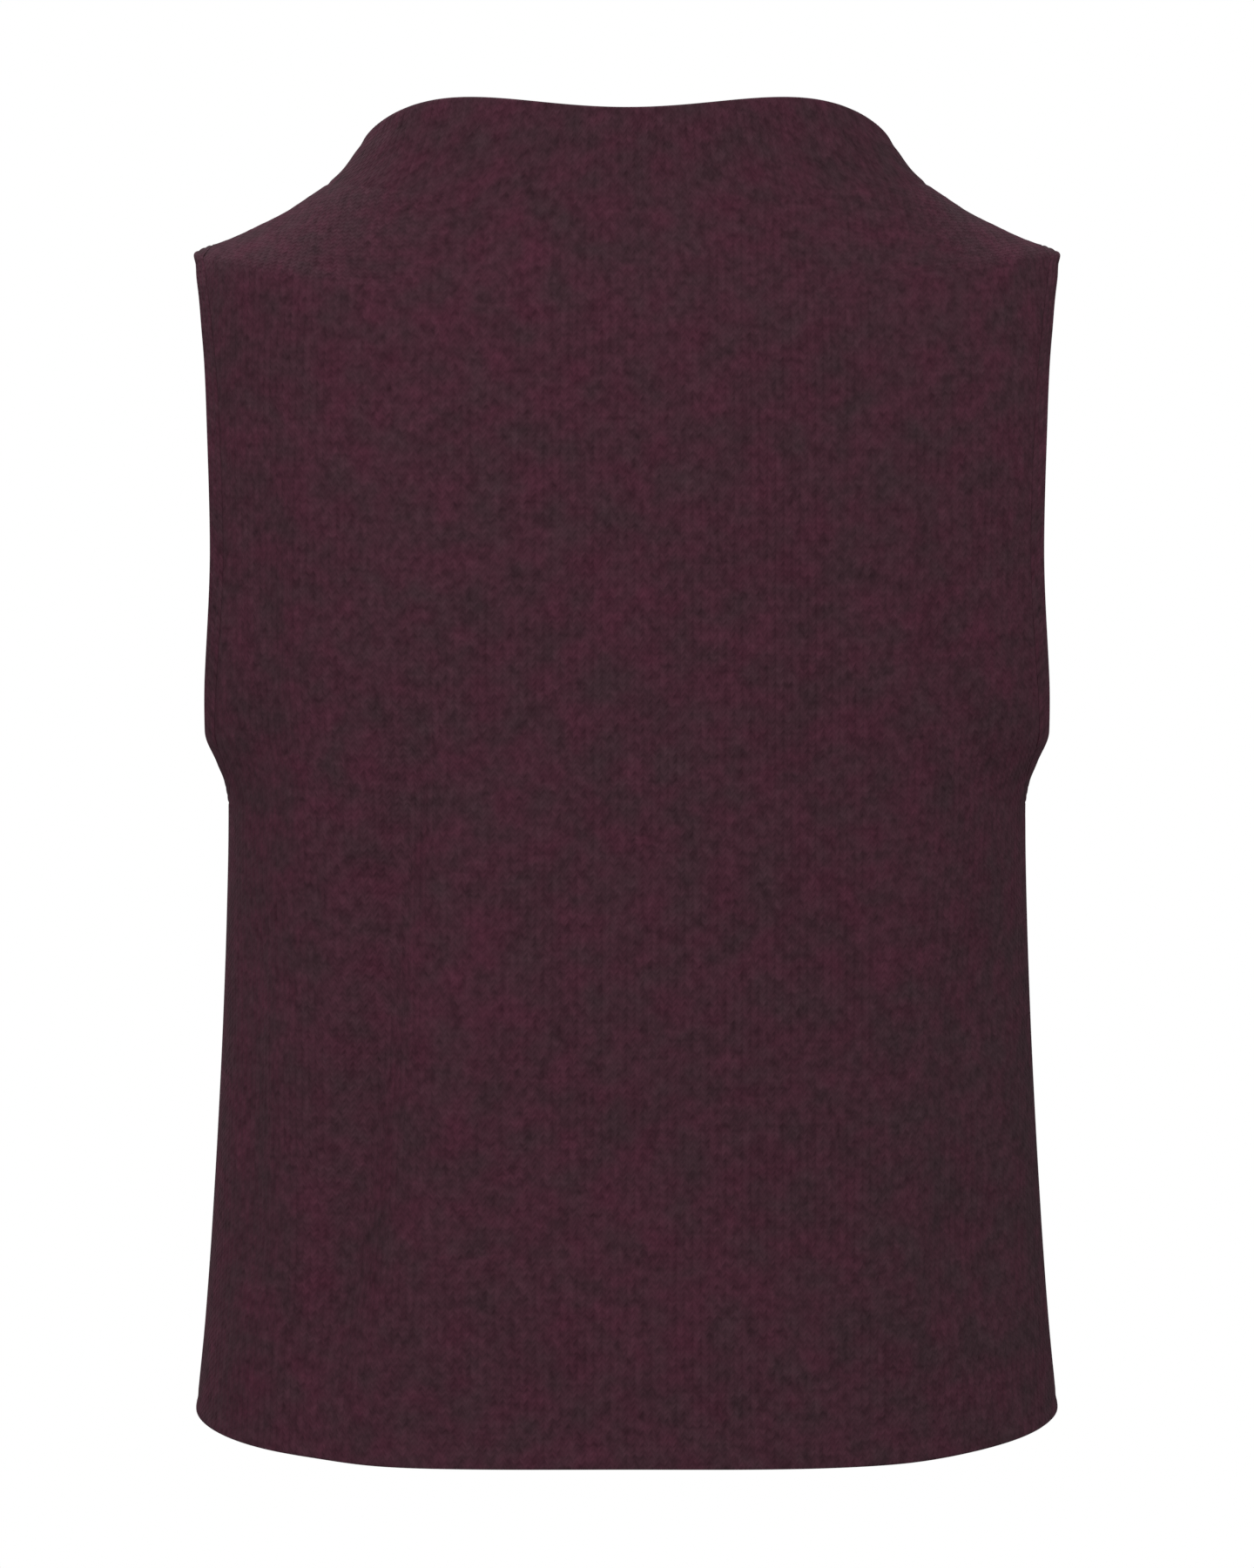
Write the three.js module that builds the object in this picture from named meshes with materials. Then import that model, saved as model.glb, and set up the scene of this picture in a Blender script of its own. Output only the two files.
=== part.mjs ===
// A knitted sweater vest, filled out as if worn, with nobody in it.
//
// Millimetres, +Z up. The back faces -Y and the front faces +Y. The origin lies between the shoulders,
// level with the base of the neck, where a wearer's shoulders carry the garment.
//
// The whole garment is one surface in two directions. Along a section it runs round the body: from the
// right side seam (x > 0) over the front, or over the back, to the left one. Up the side it is measured in
// millimetres along the side line, from the hem past the underarm and the shoulder tip to the neck edge.
// Every piece is a stretch of that surface, given its thickness along the surface's own normals.

import * as THREE from "three";

// Driving sizes
const WALL = 2.4; // thickness of the knitted fabric
const SEAM_GAP = 0.3; // space left between two pieces where they are linked together
const BAND_SEAM_GAP = 0.35; // the same round an armhole, where both walls twist as they pass the shoulder
const BAND_WIDTH = 9.5; // armhole band, from its seam to its free edge
const BAND_WALL = 2.8; // the band is knitted a little thicker than the panels
const ARMHOLE_HALF_GAP = 47; // half the widest front-to-back gap of an armhole, between its free edges
const ARMHOLE_TOP_NARROWING = 0.2; // share of that gap lost between the underarm and the shoulder tip
const ARMHOLE_FULLNESS = 0.75; // 1 is an ellipse, less is a squarer loop
const FLARE_FOCUS = 5; // how closely that flare keeps to the side line: a power of the cosine
const NORMAL_STEP = 0.5; // distance up the side over which a normal is worked out
const TURN_STEP = 0.004; // the same round a section, in radians
const FOLD_FREE_SIDE = 40; // folds fade out over this distance from the side line, so that seams meet

// Mesh fineness
const PANEL_COLUMNS = 28;
const BODY_ROWS = 15; // hem to the underarm
const ARMHOLE_ROWS = 24; // beside the armhole
const SHOULDER_ROWS = 5; // shoulder tip to the neck seam
const COLLAR_ROWS = 6;
const COLLAR_COLUMNS = 64;
const BAND_STEPS = 2 * ARMHOLE_ROWS; // so that the band and the panels turn at the same places
const BAND_COLUMNS = 2;

const YARN = { colour: 0x3f272f, roughness: 0.95 };

// Sections from the hem to the neck edge, each a rounded ring. z and half place its two side points;
// backZ, backY, frontZ and frontY place its centre back and centre front; square is the exponent of the
// ring (2 is an ellipse, more is boxier); flare pushes only its sides out, where the fabric stands off
// the body round an armhole; lift raises it halfway between side and centre. Beside an armhole the side
// points are in the air, and the ring is only there in front and behind.
const COLUMNS = ["z", "half", "flare", "backZ", "backY", "frontZ", "frontY", "square", "lift"];
const SECTIONS = [
  [-523.5, 189.2, 0, -529.8, 127, -528.5, 124, 2.2, -2.4], // hem
  [-480, 185.5, 0, -482, 124, -482, 122, 2.2, 0],
  [-420, 181.3, 0, -420.5, 120.5, -420.5, 120, 2.22, 0],
  [-350, 177.6, 0, -350, 117, -350, 118.5, 2.28, 0],
  [-300, 175.8, 0, -300, 114.8, -300, 118.5, 2.34, 0],
  [-270, 175.1, 0, -270, 113.6, -270, 119, 2.38, 0],
  [-256, 175, 0, -256, 113.2, -256, 119.4, 2.4, 0], // seam of the armhole band
  [-246, 175.1, 1.6, -246, 113, -246, 119.6, 2.41, 0], // underarm
  [-236, 175.3, 6, -236, 112.9, -236, 119.6, 2.42, 0],
  [-222, 175.8, 12.2, -222, 112.8, -222, 119.4, 2.42, 0],
  [-198, 176.9, 14, -198, 112.6, -200, 118.4, 2.42, 0],
  [-140, 179.2, 11.2, -146, 111.8, -150, 113.5, 2.4, 0],
  [-90, 180.8, 9.8, -103, 109.2, -110, 107, 2.34, 0],
  [-50, 181, 9.6, -72, 105.2, -81, 101, 2.25, 0],
  [-33, 179.6, 10.6, -60, 103, -70, 98.4, 2.2, 0],
  [-25, 178.2, 11.8, -54, 101.7, -64, 96.8, 2.17, 0],
  [-20, 176.6, 12.4, -50, 100.7, -60, 95.6, 2.15, 0],
  [-16.6, 175.2, 13.8, -46, 99.8, -56, 94.5, 2.14, 0], // shoulder tip
  [-14, 172.8, 12.6, -43, 98.9, -53, 93.5, 2.13, 0],
  [-9.2, 164.4, 8.6, -36, 96.8, -47, 91.4, 2.12, 0],
  [-3.2, 155, 5, -27, 93.8, -39, 88.6, 2.12, 0],
  [2.8, 145.6, 2.2, -17, 90.4, -30, 85.6, 2.12, 0],
  [8.6, 138.4, 1, -8, 87.2, -22, 82.8, 2.12, 0.8],
  [13.8, 130.1, 0, 1, 84.4, -14, 80.4, 2.12, 2], // neck seam
  [20, 124, 0, 13, 81.4, -2, 77.8, 2.12, 4],
  [28, 117.9, 0, 28.5, 78.4, 13, 75.2, 2.12, 6.4],
  [36, 112, 0, 44.6, 76, 29, 73, 2.12, 8.8], // neck edge
].map((row) => Object.fromEntries(COLUMNS.map((column, i) => [column, row[i]])));

// Which section rows are landmarks
const NECK_SEAM_ROW = 23;
const SHOULDER_TIP_ROW = 17;
const UNDERARM_ROW = 7;

// Folds, as soft ridges (height above zero) and troughs (below). Each follows a line from its top to its
// foot, given by x and z, bowed sideways by bow at half its length. Its profile across is a bell of the
// given width, and it dies out over fade at each end; a foot at the hem runs right off the edge.
const BACK_FOLDS = [
  { topX: -156, topZ: -75, footX: -166, footZ: -296, bow: 8, width: 13, height: -2.6, fade: 60 },
  { topX: -141, topZ: -85, footX: -145, footZ: -228, bow: 0, width: 11, height: 1.7, fade: 55 },
  { topX: -88, topZ: -170, footX: -137, footZ: -530, bow: 2, width: 17, height: -4.6, fade: 90 },
  { topX: -56, topZ: -262, footX: -112, footZ: -530, bow: 8, width: 26, height: 3.4, fade: 90 },
  { topX: -143, topZ: -318, footX: -147, footZ: -400, bow: 0, width: 9, height: 1.6, fade: 36 },
  { topX: -160, topZ: -262, footX: -161, footZ: -492, bow: 0, width: 11, height: -2.8, fade: 60 },
  { topX: -172, topZ: -480, footX: -178, footZ: -530, bow: 0, width: 12, height: 2.4, fade: 30 },
  { topX: 92, topZ: -138, footX: 168, footZ: -292, bow: 12, width: 15, height: -3.0, fade: 60 },
  { topX: 146, topZ: -240, footX: 152, footZ: -530, bow: 0, width: 20, height: -4.6, fade: 110 },
  { topX: 110, topZ: -385, footX: 119, footZ: -530, bow: 0, width: 14, height: 2.6, fade: 70 },
  { topX: 174, topZ: -440, footX: 179, footZ: -530, bow: 0, width: 10, height: 2.2, fade: 50 },
  { topX: 18, topZ: -335, footX: 22, footZ: -505, bow: 0, width: 44, height: -1.6, fade: 80 },
];
const FRONT_FOLDS = [
  { topX: 150, topZ: -92, footX: 163, footZ: -285, bow: -8, width: 13, height: -2.4, fade: 60 },
  { topX: 96, topZ: -215, footX: 128, footZ: -530, bow: -4, width: 18, height: -4.2, fade: 95 },
  { topX: 68, topZ: -270, footX: 92, footZ: -530, bow: -5, width: 24, height: 3.0, fade: 90 },
  { topX: 164, topZ: -300, footX: 166, footZ: -520, bow: 0, width: 12, height: -2.6, fade: 70 },
  { topX: 4, topZ: -300, footX: -10, footZ: -470, bow: 0, width: 40, height: -1.4, fade: 75 },
  { topX: -84, topZ: -160, footX: -160, footZ: -300, bow: -10, width: 15, height: -2.8, fade: 60 },
  { topX: -112, topZ: -300, footX: -124, footZ: -530, bow: 3, width: 16, height: -3.6, fade: 85 },
  { topX: -86, topZ: -345, footX: -94, footZ: -530, bow: 0, width: 19, height: 2.6, fade: 80 },
  { topX: -160, topZ: -330, footX: -166, footZ: -530, bow: 0, width: 13, height: -2.2, fade: 60 },
];

// Each section's distance up the side line
const HEIGHTS = SECTIONS.reduce((heights, row, i) => {
  const below = SECTIONS[i - 1];
  const step = below ? Math.hypot(row.half + row.flare - below.half - below.flare, row.z - below.z) : 0;
  return [...heights, (heights[i - 1] ?? 0) + step];
}, []);
const HEM_Z = SECTIONS[0].z;
const UNDERARM = HEIGHTS[UNDERARM_ROW];
const SHOULDER_TIP = HEIGHTS[SHOULDER_TIP_ROW];
const NECK_SEAM = HEIGHTS[NECK_SEAM_ROW];
const NECK_EDGE = HEIGHTS[HEIGHTS.length - 1];
const ARMHOLE_CENTRE = (UNDERARM + SHOULDER_TIP) / 2;
const ARMHOLE_HALF_HEIGHT = (SHOULDER_TIP - UNDERARM) / 2;

// The slope of one column at each section: the harmonic mean of the slopes on both sides of it, and
// level where they differ in sign, so that a value between two sections never overshoots them
function slopesOf(column) {
  const values = SECTIONS.map((row) => row[column]);
  const rise = values.slice(1).map((value, i) => (value - values[i]) / (HEIGHTS[i + 1] - HEIGHTS[i]));
  const inner = rise.slice(1).map((r, i) => (r * rise[i] > 0 ? (2 * r * rise[i]) / (r + rise[i]) : 0));
  return [rise[0], ...inner, rise[rise.length - 1]];
}
const SLOPES = Object.fromEntries(COLUMNS.map((column) => [column, slopesOf(column)]));

// Every column at one height, by a smooth cubic between the sections around it
function sectionAt(height) {
  const above = HEIGHTS.findIndex((h) => h >= height);
  const i = above < 0 ? HEIGHTS.length - 2 : Math.max(above - 1, 0);
  const span = HEIGHTS[i + 1] - HEIGHTS[i];
  const s = (height - HEIGHTS[i]) / span;
  const atNext = s * s * (3 - 2 * s);
  const slopeHere = s * (1 - s) * (1 - s) * span;
  const slopeNext = s * s * (s - 1) * span;
  return Object.fromEntries(
    COLUMNS.map((column) => {
      const [here, next] = [SECTIONS[i][column], SECTIONS[i + 1][column]];
      const slopes = SLOPES[column];
      return [column, here + (next - here) * atNext + slopes[i] * slopeHere + slopes[i + 1] * slopeNext];
    }),
  );
}

// The smooth garment at an angle round the section (0 is the right side, +90 degrees the centre front,
// -90 degrees the centre back) and a height up the side line
function smoothPoint(angle, height) {
  const ring = sectionAt(height);
  const cos = Math.cos(angle);
  const sin = Math.sin(angle);
  const reach = (Math.abs(cos) ** ring.square + Math.abs(sin) ** ring.square) ** (-1 / ring.square);
  const centreZ = sin < 0 ? ring.backZ : ring.frontZ;
  const depth = sin < 0 ? ring.backY : ring.frontY;
  const flare = ring.flare * Math.sign(cos) * Math.abs(cos) ** FLARE_FOCUS;
  const z = ring.z + (centreZ - ring.z) * sin * sin + ring.lift * (2 * sin * cos) ** 2;
  return new THREE.Vector3(ring.half * cos * reach + flare, depth * sin * reach, z);
}

function foldHeight(fold, x, z) {
  const along = (fold.topZ - z) / (fold.topZ - fold.footZ);
  const lineX = fold.topX + (fold.footX - fold.topX) * along + fold.bow * 4 * along * (1 - along);
  const aboveFoot = fold.footZ > HEM_Z ? z - fold.footZ : Infinity;
  const share = THREE.MathUtils.smoothstep(Math.min(fold.topZ - z, aboveFoot) / fold.fade, 0, 1);
  return fold.height * share * Math.exp(-(((x - lineX) / fold.width) ** 2));
}

// A point of the garment, moved out along its normal by the folds there and by the given distance
function garmentPoint(angle, height, out) {
  const point = smoothPoint(angle, height);
  const low = Math.max(height - NORMAL_STEP, 0);
  const high = Math.min(height + NORMAL_STEP, NECK_EDGE);
  const round = smoothPoint(angle + TURN_STEP, height).sub(smoothPoint(angle - TURN_STEP, height));
  const up = smoothPoint(angle, high).sub(smoothPoint(angle, low));
  const normal = round.cross(up).normalize();
  const folds = Math.sin(angle) < 0 ? BACK_FOLDS : FRONT_FOLDS;
  const fold = folds.reduce((sum, each) => sum + foldHeight(each, point.x, point.z), 0);
  const fromSide = THREE.MathUtils.smoothstep(Math.abs(point.y), 0, FOLD_FREE_SIDE);
  return point.addScaledVector(normal, fold * fromSide + out);
}

// The angle at which the section at this height is a given distance in front of the side line, or
// behind it where that distance is negative
function angleAtOffset(offset, height) {
  const ring = sectionAt(height);
  const share = Math.abs(offset) / (offset < 0 ? ring.backY : ring.frontY);
  const angle = Math.atan2(share, (1 - share ** ring.square) ** (1 / ring.square));
  return Math.sign(offset) * angle;
}

// Half the front-to-back width of an armhole loop that lies a given margin outside its free edge, at an
// angle round the loop that runs from 0 at the underarm to 180 degrees at the shoulder tip
function loopHalfGap(turn, margin) {
  const narrowing = 1 - ARMHOLE_TOP_NARROWING * 0.5 * (1 - Math.cos(turn));
  return (ARMHOLE_HALF_GAP * narrowing + margin) * Math.abs(Math.sin(turn)) ** ARMHOLE_FULLNESS;
}
const loopHeight = (turn, margin) => ARMHOLE_CENTRE - (ARMHOLE_HALF_HEIGHT + margin) * Math.cos(turn);

// How far from the side line a panel ends at this height: half a seam, or the armhole band's seam
function panelEdgeOffset(height) {
  const margin = BAND_WIDTH + BAND_SEAM_GAP;
  const cos = (ARMHOLE_CENTRE - height) / (ARMHOLE_HALF_HEIGHT + margin);
  const gap = Math.abs(cos) < 1 ? loopHalfGap(Math.acos(cos), margin) : 0;
  return Math.max(gap, SEAM_GAP / 2);
}

// A closed body from rings of points: each ring is a loop round the wall's cross-section, and the rings
// follow each other along the piece, which closes on itself or has a flat end at each side. Each patch
// is split along its shorter diagonal, so that the two walls of a seam are split alike.
function wallFromRings(rings, closed) {
  const size = rings[0].length;
  const points = rings.flat();
  const positions = points.flatMap((p) => [p.x, p.y, p.z]);
  const triangles = [];
  const last = closed ? rings.length : rings.length - 1;
  for (let j = 0; j < last; j += 1) {
    const here = j * size;
    const next = ((j + 1) % rings.length) * size;
    for (let i = 0; i < size; i += 1) {
      const k = (i + 1) % size;
      const [a, b, c, d] = [here + i, here + k, next + k, next + i];
      const alongAC = points[a].distanceTo(points[c]) < points[b].distanceTo(points[d]);
      triangles.push(...(alongAC ? [a, b, c, a, c, d] : [a, b, d, b, c, d]));
    }
  }
  if (!closed) {
    addEnd(triangles, 0, size, true);
    addEnd(triangles, (rings.length - 1) * size, size, false);
  }
  const geometry = new THREE.BufferGeometry();
  geometry.setAttribute("position", new THREE.Float32BufferAttribute(positions, 3));
  geometry.setIndex(triangles);
  geometry.computeVertexNormals();
  return geometry;
}

// The end of a wall: its outer points run one way and its inner points come back beside them
function addEnd(triangles, start, size, first) {
  for (let i = 0; i < size / 2 - 1; i += 1) {
    const [a, b, c, d] = [start + i, start + i + 1, start + size - 2 - i, start + size - 1 - i];
    triangles.push(...(first ? [a, c, b, a, d, c] : [a, b, c, a, c, d]));
  }
}

// The cross-section loop of a wall: its outer points in order, then its inner points back
const wallLoop = (outer, inner) => [...outer, ...inner.toReversed()];

function spread(count, from, to) {
  return Array.from({ length: count + 1 }, (_, i) => from + ((to - from) * i) / count);
}

// Heights of a panel's rows: even below the underarm and above the shoulder tip, and at even turns of
// the armhole loop beside it, so that they close up where the loop turns over
function panelHeights() {
  const margin = BAND_WIDTH + BAND_SEAM_GAP;
  const low = loopHeight(0, margin);
  const high = loopHeight(Math.PI, margin);
  const beside = spread(ARMHOLE_ROWS, 0, Math.PI).map((turn) => loopHeight(turn, margin));
  const below = spread(BODY_ROWS, 0, low).slice(0, -1);
  const above = spread(SHOULDER_ROWS, high, NECK_SEAM - SEAM_GAP / 2).slice(1);
  return [...below, ...beside, ...above];
}

// A panel from side seam to side seam; facing is -1 for the back and +1 for the front
function panel(facing) {
  const rings = panelHeights().map((height) => {
    const edge = Math.abs(angleAtOffset(facing * panelEdgeOffset(height), height));
    const angles = spread(PANEL_COLUMNS, edge, Math.PI - edge).map((angle) => facing * angle);
    const outer = angles.map((angle) => garmentPoint(angle, height, 0));
    const inner = angles.map((angle) => garmentPoint(angle, height, -WALL));
    return facing < 0 ? wallLoop(inner, outer) : wallLoop(outer, inner);
  });
  return wallFromRings(rings, false);
}

// The collar is a funnel-shaped ring from the neck seam to the neck edge
function collar() {
  const heights = spread(COLLAR_ROWS, NECK_SEAM + SEAM_GAP / 2, NECK_EDGE);
  const angles = spread(COLLAR_COLUMNS, 0, 2 * Math.PI).slice(0, -1);
  const rings = angles.map((angle) => {
    const outer = heights.map((height) => garmentPoint(angle, height, 0));
    const inner = heights.map((height) => garmentPoint(angle, height, -WALL));
    return wallLoop(inner, outer);
  });
  return wallFromRings(rings, true);
}

// An armhole band follows its loop up the front, over the shoulder tip and down the back; side is +1
// for the one at +X and -1 for its mirror image, whose points run the other way round
function armholeBand(side) {
  const margins = spread(BAND_COLUMNS, BAND_WIDTH, 0);
  const turns = spread(BAND_STEPS, 0, 2 * Math.PI).slice(0, -1);
  const proud = (BAND_WALL - WALL) / 2;
  const rings = turns.map((turn) => {
    const facing = turn <= Math.PI ? 1 : -1;
    const place = (margin, out) => {
      const height = loopHeight(turn, margin);
      const offset = facing * loopHalfGap(turn, margin);
      const angle = angleAtOffset(offset, height);
      return garmentPoint(side > 0 ? angle : Math.PI - angle, height, out);
    };
    const outer = margins.map((margin) => place(margin, proud));
    const inner = margins.map((margin) => place(margin, proud - BAND_WALL));
    return side > 0 ? wallLoop(inner, outer) : wallLoop(outer, inner);
  });
  return wallFromRings(rings, true);
}

const vest = new THREE.Group();

function addPiece(name, geometry) {
  const material = new THREE.MeshStandardMaterial({
    color: YARN.colour,
    roughness: YARN.roughness,
    metalness: 0,
  });
  const piece = new THREE.Mesh(geometry, material);
  piece.name = name;
  vest.add(piece);
}

addPiece("back_panel", panel(-1));
addPiece("front_panel", panel(1));
addPiece("collar", collar());
addPiece("armhole_band_right", armholeBand(1));
addPiece("armhole_band_left", armholeBand(-1));

export default vest;
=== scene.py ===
# A knitted sweater vest with a funnel neck, filled out as if worn, with nobody in it.
#
# Sizes and tables are in millimetres, as on a pattern sheet, and become metres where a mesh is made.
# +Z is up, the back faces -Y and the front faces +Y.

import math

import bpy
import numpy as np
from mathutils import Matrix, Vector


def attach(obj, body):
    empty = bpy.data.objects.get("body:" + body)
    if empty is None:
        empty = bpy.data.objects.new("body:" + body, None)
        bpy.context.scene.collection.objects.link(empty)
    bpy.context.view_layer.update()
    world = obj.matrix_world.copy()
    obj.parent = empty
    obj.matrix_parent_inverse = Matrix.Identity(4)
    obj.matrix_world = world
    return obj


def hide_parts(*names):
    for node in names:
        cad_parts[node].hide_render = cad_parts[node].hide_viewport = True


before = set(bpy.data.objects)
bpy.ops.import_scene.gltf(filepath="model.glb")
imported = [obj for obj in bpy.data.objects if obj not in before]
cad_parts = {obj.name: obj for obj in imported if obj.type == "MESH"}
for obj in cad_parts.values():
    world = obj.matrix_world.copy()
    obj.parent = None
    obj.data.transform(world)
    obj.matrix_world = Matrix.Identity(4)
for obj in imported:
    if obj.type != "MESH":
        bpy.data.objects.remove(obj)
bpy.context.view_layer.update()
MM = 0.001

# Camera
# It looks at the middle of the back from 3 m away and a little above, so that the hem's near half
# shows as an arc. The picture is 1440 x 1800, and 1 px is 0.381 mm at the vest's middle.
CAMERA_PLACE = (0, -3.0, -0.086)
CAMERA_PITCH = 3.07
PICTURE_HEIGHT = 1800
METRES_PER_PIXEL = 0.000381
SENSOR = 36.0

camera_data = bpy.data.cameras.new("camera")
camera_data.sensor_width = SENSOR
camera_data.lens = SENSOR * -CAMERA_PLACE[1] / (PICTURE_HEIGHT * METRES_PER_PIXEL)
camera = bpy.data.objects.new("camera", camera_data)
camera.location = CAMERA_PLACE
camera.rotation_euler = (math.radians(90 - CAMERA_PITCH), 0, 0)
bpy.context.scene.collection.objects.link(camera)
bpy.context.scene.camera = camera

# Back panel
# One piece of plain knitting in a dark wine and charcoal yarn, its columns of stitches running from
# the hem to the neck. It is knitted to shape, turned at the hem, and linked to the front at the sides
# and shoulders.
WALL = 2.4  # thickness of the knitted fabric
WALE = 3.5  # width of one column of stitches
COURSE = 2.55  # height of one row of stitches
BAND_WIDTH = 9.5  # armhole band, from its seam to its free edge
ARMHOLE_HALF_GAP = 47  # half the widest front-to-back gap of an armhole
ARMHOLE_TOP_NARROWING = 0.2  # share of that gap lost between the underarm and the shoulder tip
ARMHOLE_FULLNESS = 0.75  # 1 is an ellipse, less is a squarer loop
FLARE_FOCUS = 5  # how closely the flare keeps to the side line: a power of the cosine
FOLD_FREE_SIDE = 40  # folds fade out over this distance from the side line, so that seams meet
HEM_HOLD = 90  # distance above the hem over which its turned edge pulls the folds flatter
HEM_FOLD_SHARE = 0.35  # what is left there of a fold's height
HEM_FOLD_SPREAD = 1.5  # how many times wider it is there
NORMAL_STEP = 0.5  # distance up the side over which a normal is worked out
TURN_STEP = 0.004  # the same round a section, in radians
OFF_ZERO = 1e-6  # keeps a distance from the side line off 0, so that its sign tells front from back

# Sections from the hem to the neck edge, each a rounded ring. z and half place its two side points;
# back_z, back_y, front_z and front_y place its centre back and centre front; square is the exponent
# of the ring (2 is an ellipse, more is boxier); flare pushes only its sides out, where the fabric
# stands off the body round an armhole; lift raises it halfway between side and centre.
COLUMNS = ("z", "half", "flare", "back_z", "back_y", "front_z", "front_y", "square", "lift")
SECTIONS = np.array([
    (-521.8, 189.2, 0, -529.8, 127, -528.5, 124, 2.2, -4.1),  # hem
    (-480, 185, 0, -482, 124, -482, 122, 2.2, 0),
    (-420, 180.7, 0, -420.5, 120.5, -420.5, 120, 2.22, 0),
    (-350, 176.9, 0, -350, 117, -350, 118.5, 2.28, 0),
    (-300, 175, 0, -300, 114.8, -300, 118.5, 2.34, 0),
    (-270, 174.3, 0, -270, 113.6, -270, 119, 2.38, 0),
    (-256, 174.2, 0, -256, 113.2, -256, 119.4, 2.4, 0),  # seam of the armhole band
    (-246, 174.4, 1.2, -246, 113, -246, 119.6, 2.41, 0),  # underarm
    (-236, 174.8, 6, -236, 112.9, -236, 119.6, 2.42, 0),
    (-222, 175.8, 13.8, -222, 112.8, -222, 119.4, 2.42, 0),
    (-198, 176.9, 15.8, -198, 112.6, -200, 118.4, 2.42, 0),
    (-140, 179.2, 12.4, -146, 111.8, -150, 113.5, 2.4, 0),
    (-90, 180.8, 10.5, -103, 109.2, -110, 107, 2.34, 0),
    (-50, 181, 9.6, -72, 105.2, -81, 101, 2.25, 0),
    (-33, 179.6, 10.6, -60, 103, -70, 98.4, 2.2, 0),
    (-25, 178.2, 11.8, -54, 101.7, -64, 96.8, 2.17, 0),
    (-19.6, 176.6, 12.6, -50, 100.7, -60, 95.6, 2.15, 0),
    (-15.8, 175.2, 13.8, -46, 99.8, -56, 94.5, 2.14, 0),  # shoulder tip
    (-13.2, 172.8, 12.2, -43, 98.9, -53, 93.5, 2.13, 0),
    (-8.8, 164.4, 8.4, -36, 96.8, -47, 91.4, 2.12, 0),
    (-3.2, 155.8, 5, -27, 93.8, -39, 88.6, 2.12, 0),
    (2.8, 146.5, 2.2, -17, 90.4, -30, 85.6, 2.12, 0),
    (8.6, 138.9, 1, -8, 87.2, -22, 82.8, 2.12, 0.8),
    (15, 130.5, 0, 1, 84.4, -14, 80.4, 2.12, 2),  # neck seam
    (20.9, 124, 0, 13, 81.4, -2, 77.8, 2.12, 4),
    (28.7, 118.2, 0, 28.8, 78.4, 13, 75.2, 2.12, 6.4),
    (36.6, 112.4, 0, 45.3, 76, 29, 73, 2.12, 8.8),  # neck edge
], float)
UNDERARM_ROW = 7
SHOULDER_TIP_ROW = 17
NECK_SEAM_ROW = 23

# Folds, as soft ridges (height above zero) and troughs (below). Each follows a line from its top to
# its foot, given by x and z, bowed sideways by bow at half its length. Its profile across is a bell
# of the given width, and it dies out over fade at each end; a foot at the hem runs off the edge.
FOLD_COLUMNS = ("top_x", "top_z", "foot_x", "foot_z", "bow", "width", "height", "fade")
BACK_FOLDS = np.array([
    (-156, -75, -165, -296, 8, 11, -2.2, 60),
    (-141, -85, -140, -228, 0, 14, 3.0, 55),
    (-87, -170, -133, -530, 2, 13, -8.4, 90),
    (-54, -262, -107, -530, 8, 21, 5.6, 90),
    (-144, -318, -148, -400, 0, 9, 0.8, 36),
    (-160, -262, -164, -492, 0, 8, -3.0, 60),
    (-173, -480, -177, -530, 0, 11, 2.2, 30),
    (91, -138, 167, -292, 12, 12, -2.6, 60),
    (149, -240, 152, -530, 0, 23, -6.6, 110),
    (113, -385, 121, -530, 0, 13, 3.4, 70),
    (172, -440, 178, -530, 0, 10, 1.8, 50),
    (20, -335, 25, -505, 0, 36, -2.4, 80),
], float)

# Finer creases that only the cloth shows, in the same columns
BACK_CREASES = np.array([
    (-168, -214, -128, -262, -3, 4.5, -0.7, 22),
    (-170, -232, -140, -290, -4, 5, -0.6, 26),
    (168, -222, 132, -258, 3, 4.5, -0.6, 20),
    (160, -120, 166, -205, 2, 5, -0.7, 36),
    (-118, -352, -131, -470, 3, 6, 0.6, 45),
    (128, -330, 131, -455, -2, 6, 0.6, 50),
    (-24, -395, -31, -505, 2, 9, -0.5, 45),
    (62, -300, 71, -430, -3, 8, -0.5, 50),
    (-92, -30, -104, -92, 3, 8, 0.6, 26),
    (98, -34, 109, -88, -3, 8, -0.6, 24),
], float)

SIDE_STEPS = np.hypot(np.diff(SECTIONS[:, 1] + SECTIONS[:, 2]), np.diff(SECTIONS[:, 0]))
HEIGHTS = np.concatenate([[0], np.cumsum(SIDE_STEPS)])
HEM_Z = SECTIONS[0, 0]
UNDERARM = HEIGHTS[UNDERARM_ROW]
SHOULDER_TIP = HEIGHTS[SHOULDER_TIP_ROW]
NECK_SEAM = HEIGHTS[NECK_SEAM_ROW]
NECK_EDGE = HEIGHTS[-1]
ARMHOLE_CENTRE = (UNDERARM + SHOULDER_TIP) / 2
ARMHOLE_HALF_HEIGHT = (SHOULDER_TIP - UNDERARM) / 2

RISES = np.diff(SECTIONS, axis=0) / np.diff(HEIGHTS)[:, None]
RISE_SUMS = np.where(RISES[1:] * RISES[:-1] > 0, RISES[1:] + RISES[:-1], np.inf)
SLOPES = np.vstack([RISES[:1], 2 * RISES[1:] * RISES[:-1] / RISE_SUMS, RISES[-1:]])


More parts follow.
